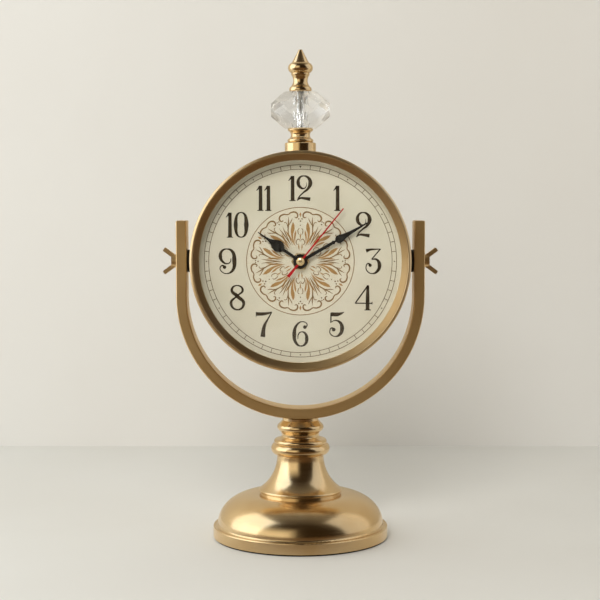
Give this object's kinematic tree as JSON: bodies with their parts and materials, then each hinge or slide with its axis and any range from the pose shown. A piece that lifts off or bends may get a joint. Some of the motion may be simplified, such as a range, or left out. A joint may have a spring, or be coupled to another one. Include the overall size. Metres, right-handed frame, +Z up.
{
  "type": "table clock",
  "caption": "Round table clock that tilts in a U-shaped yoke on a domed, turned pedestal, with a cut glass finial, wing nuts and a battery movement.",
  "frame": {"origin": "centre of the base's underside, on the table", "axes": "+Z up, dial faces -Y, +X to the right seen from the front, along the tilt axis"},
  "size_m": [0.1912, 0.1226, 0.3404],
  "materials": {
    "satin_brass": "brushed, lacquered antique brass",
    "polished_brass": "turned and polished antique brass",
    "steel": "zinc plated",
    "felt": "black felt",
    "cast_iron": "rough cast, black",
    "glass": "clear flat glass",
    "crystal": "clear cut glass",
    "dial_enamel": "matt cream print",
    "grey_plastic": "moulded",
    "black_plastic": "fine spark texture",
    "battery_jacket": "plain printed jacket",
    "copper_wire": "enamelled copper winding",
    "board": "green laminate",
    "wheel_plastic": "natural acetal",
    "black_enamel": "semi-matt black",
    "red_enamel": "semi-gloss red"
  },
  "bodies": {
    "stand": {"base_pad": "felt", "base_shell": "satin_brass", "base_ballast": "cast_iron", "column_flare": "satin_brass", "lower_knop": "polished_brass", "upper_knop": "polished_brass", "tie_rod": "steel", "tie_washer": "steel", "tie_nut": "steel", "yoke": "satin_brass"},
    "clock_head": {"case_band": "satin_brass", "bezel": "satin_brass", "front_glass": "glass", "dial_spacer": "grey_plastic", "dial": "dial_enamel", "dial_clamp": "steel", "rear_cover": "satin_brass", "right_pad": "steel", "right_stud": "steel", "right_spacer": "polished_brass", "left_pad": "steel", "left_stud": "steel", "left_spacer": "polished_brass", "finial_collar": "polished_brass", "finial_nut": "steel", "finial_rod": "steel", "cut_bead": "crystal", "finial_tip": "polished_brass", "movement_front": "black_plastic", "movement_back": "black_plastic", "bush_nut": "polished_brass", "battery": "battery_jacket", "right_contact": "steel", "left_contact": "steel", "drive_coil": "copper_wire", "circuit_board": "board", "cover_screw_1": "steel", "cover_screw_2": "steel", "cover_screw_3": "steel", "cover_screw_4": "steel"},
    "right_wing": {"right_wing_nut": "polished_brass"},
    "left_wing": {"left_wing_nut": "polished_brass"},
    "minute_train": {"cannon_pinion": "wheel_plastic", "minute_hand": "black_enamel"},
    "hour_train": {"hour_wheel": "wheel_plastic", "hour_hand": "black_enamel"},
    "setting_train": {"minute_wheel": "wheel_plastic", "set_knob": "black_plastic"},
    "seconds_train": {"seconds_arbor": "steel", "second_hand": "red_enamel", "centre_cap": "polished_brass"}
  },
  "joints": [
    {"name": "head_tilt", "type": "hinge", "parent": "stand", "child": "clock_head", "pos_m": [0, 0, 0.1944], "axis": [1, 0, 0], "range_deg": [-155, 155]},
    {"name": "right_wing_turn", "type": "hinge", "parent": "clock_head", "child": "right_wing", "pos_m": [0.0877, 0, 0.1944], "axis": [1, 0, 0], "range_deg": [0, 360]},
    {"name": "left_wing_turn", "type": "hinge", "parent": "clock_head", "child": "left_wing", "pos_m": [-0.0877, 0, 0.1944], "axis": [-1, 0, 0], "range_deg": [0, 360]},
    {"name": "minute_turn", "type": "hinge", "parent": "clock_head", "child": "minute_train", "pos_m": [0, -0.012, 0.1944], "axis": [0, 1, 0], "continuous": true},
    {"name": "hour_turn", "type": "hinge", "parent": "clock_head", "child": "hour_train", "pos_m": [0, -0.0107, 0.1944], "axis": [0, 1, 0], "continuous": true},
    {"name": "setting_turn", "type": "hinge", "parent": "clock_head", "child": "setting_train", "pos_m": [0, 0.0093, 0.2064], "axis": [0, 1, 0], "continuous": true},
    {"name": "second_turn", "type": "hinge", "parent": "clock_head", "child": "seconds_train", "pos_m": [0, -0.0133, 0.1944], "axis": [0, 1, 0], "continuous": true}
  ],
  "couplings": [
    {"joint": "hour_turn", "follows": "minute_turn", "ratio": 0.083333},
    {"joint": "setting_turn", "follows": "minute_turn", "ratio": -0.33333}
  ]
}
